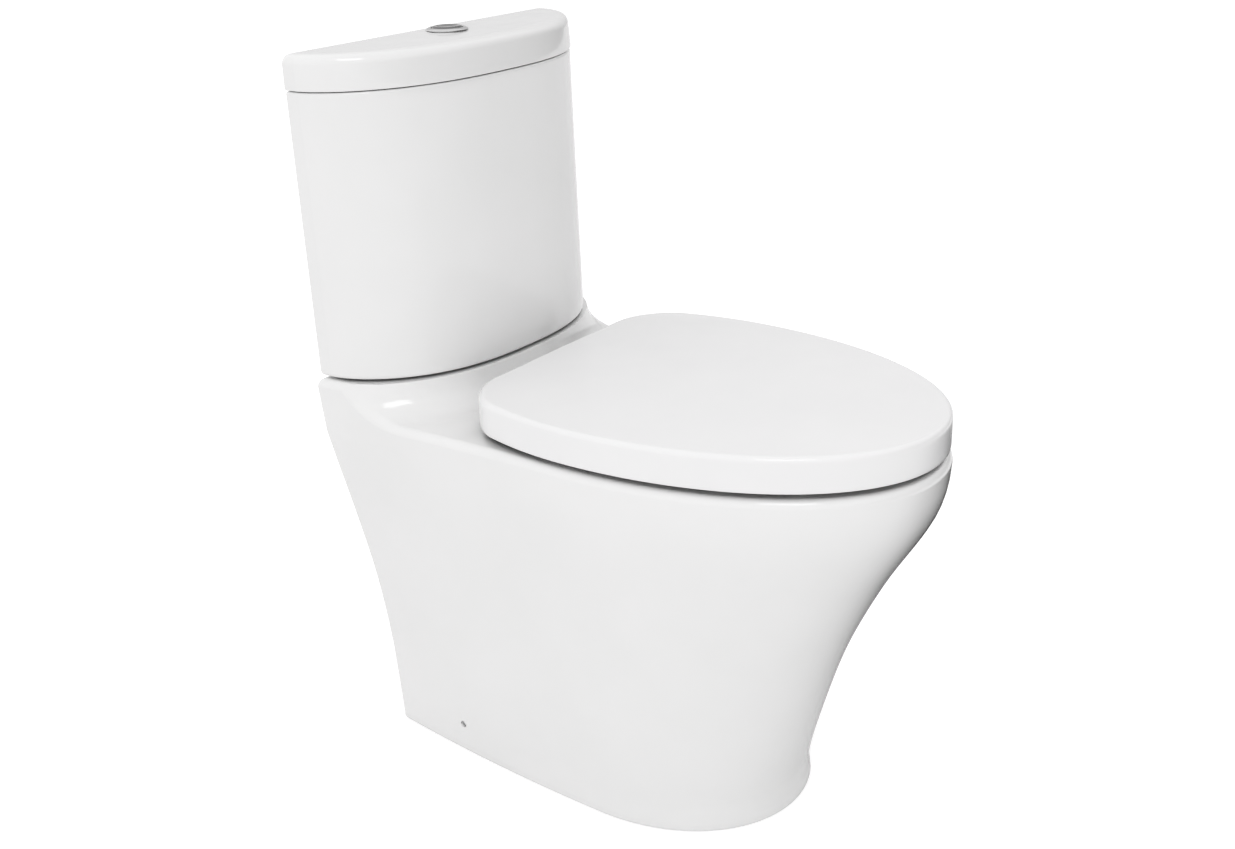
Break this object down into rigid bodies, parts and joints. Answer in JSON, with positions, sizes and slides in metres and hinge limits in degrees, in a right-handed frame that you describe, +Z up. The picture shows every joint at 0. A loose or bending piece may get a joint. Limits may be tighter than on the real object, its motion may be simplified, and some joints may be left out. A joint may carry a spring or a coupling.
{
  "type": "close coupled toilet",
  "caption": "Compact close coupled toilet: skirted back-to-wall pan, bowed cistern with lift-off lid and dual push button, wrap-over soft-close seat, flush and fill valves.",
  "frame": {"origin": "floor level, under the middle of the whole toilet's box", "axes": "+Z up, -Y to the front of the toilet, +Y into the wall, +X to the toilet's own left"},
  "size_m": [0.3924, 0.611, 0.7903],
  "materials": {
    "china": "gloss glaze",
    "seat_plastic": "gloss",
    "chrome": "polished",
    "stainless_steel": "satin",
    "valve_plastic": "matt",
    "grey_plastic": "matt",
    "blue_plastic": "matt",
    "rubber": "matt",
    "white_rubber": "matt",
    "brass": "satin"
  },
  "bodies": {
    "fixed": {"bolt_seal_left": "rubber", "bolt_seal_right": "rubber", "bolt_washer_left": "stainless_steel", "bolt_washer_right": "stainless_steel", "cistern": "china", "coupling_bolt_left": "brass", "coupling_bolt_right": "brass", "coupling_gasket": "rubber", "fill_back_nut": "valve_plastic", "fill_cap": "grey_plastic", "fill_column": "valve_plastic", "fill_seal": "rubber", "floor_bracket_left": "stainless_steel", "floor_bracket_right": "stainless_steel", "hinge_flange_left": "stainless_steel", "hinge_flange_right": "stainless_steel", "hinge_nut_left": "stainless_steel", "hinge_nut_right": "stainless_steel", "hinge_pin_left": "stainless_steel", "hinge_pin_right": "stainless_steel", "hinge_post_left": "stainless_steel", "hinge_post_right": "stainless_steel", "hinge_washer_left": "rubber", "hinge_washer_right": "rubber", "pan": "china", "side_screw_left": "stainless_steel", "side_screw_right": "stainless_steel", "valve_back_nut": "valve_plastic", "valve_basket": "valve_plastic", "valve_cap": "grey_plastic", "valve_gasket": "rubber", "wing_nut_left": "brass", "wing_nut_right": "brass"},
    "seat_ring": {"seat_ring": "seat_plastic", "seat_buffer_1": "white_rubber", "seat_buffer_2": "white_rubber", "seat_buffer_3": "white_rubber", "seat_buffer_4": "white_rubber", "seat_damper": "grey_plastic"},
    "seat_cover": {"seat_cover": "seat_plastic", "cover_buffer_1": "white_rubber", "cover_buffer_2": "white_rubber", "cover_damper": "grey_plastic"},
    "cistern_lid": {"cistern_lid": "china", "button_housing": "chrome", "button_nut": "valve_plastic", "full_flush_spring": "stainless_steel", "half_flush_spring": "stainless_steel"},
    "full_button": {"full_flush_button": "chrome", "full_flush_rod": "valve_plastic"},
    "half_button": {"half_flush_button": "chrome", "half_flush_rod": "valve_plastic"},
    "full_plunger": {"full_flush_plunger": "blue_plastic"},
    "half_plunger": {"half_flush_plunger": "blue_plastic"},
    "flush_valve_lift": {"overflow_tube": "blue_plastic", "valve_seal": "white_rubber"},
    "float": {"fill_float": "white_rubber", "float_link": "valve_plastic"},
    "fill_lever": {"fill_lever": "valve_plastic"}
  },
  "joints": [
    {"name": "seat_ring_hinge", "type": "hinge", "parent": "fixed", "child": "seat_ring", "pos_m": [0, 0.1235, 0.442], "axis": [-1, 0, 0], "range_deg": [0, 95]},
    {"name": "seat_cover_hinge", "type": "hinge", "parent": "seat_ring", "child": "seat_cover", "pos_m": [0, 0.1235, 0.442], "axis": [1, 0, 0], "range_deg": [-95, 0]},
    {"name": "cistern_lid_lift", "type": "slide", "parent": "fixed", "child": "cistern_lid", "axis": [0, 0, 1], "range_m": [0, 0.15]},
    {"name": "full_button_press", "type": "slide", "parent": "cistern_lid", "child": "full_button", "axis": [0, 0, -1], "range_m": [0, 0.005], "stiffness_N_per_m": 400, "springref_m": -0.006, "deforming": ["full_flush_spring"]},
    {"name": "half_button_press", "type": "slide", "parent": "cistern_lid", "child": "half_button", "axis": [0, 0, -1], "range_m": [0, 0.005], "stiffness_N_per_m": 400, "springref_m": -0.006, "deforming": ["half_flush_spring"]},
    {"name": "full_plunger_press", "type": "slide", "parent": "fixed", "child": "full_plunger", "axis": [0, 0, -1], "range_m": [0, 0.005]},
    {"name": "half_plunger_press", "type": "slide", "parent": "fixed", "child": "half_plunger", "axis": [0, 0, -1], "range_m": [0, 0.005]},
    {"name": "flush_valve_lift", "type": "slide", "parent": "fixed", "child": "flush_valve_lift", "axis": [0, 0, 1], "range_m": [0, 0.03]},
    {"name": "float_slide", "type": "slide", "parent": "fixed", "child": "float", "axis": [0, 0, 1], "range_m": [-0.014, 0], "stiffness_N_per_m": 60, "springref_m": 0.03},
    {"name": "fill_lever_hinge", "type": "hinge", "parent": "fixed", "child": "fill_lever", "pos_m": [-0.14, 0.2515, 0.69], "axis": [0, 1, 0], "range_deg": [0, 25.5]}
  ],
  "couplings": [
    {"joint": "full_plunger_press", "follows": "full_button_press", "ratio": 1},
    {"joint": "flush_valve_lift", "follows": "full_button_press", "ratio": 6},
    {"joint": "half_plunger_press", "follows": "half_button_press", "ratio": 1},
    {"joint": "fill_lever_hinge", "follows": "float_slide", "rad_per_m": -31}
  ]
}
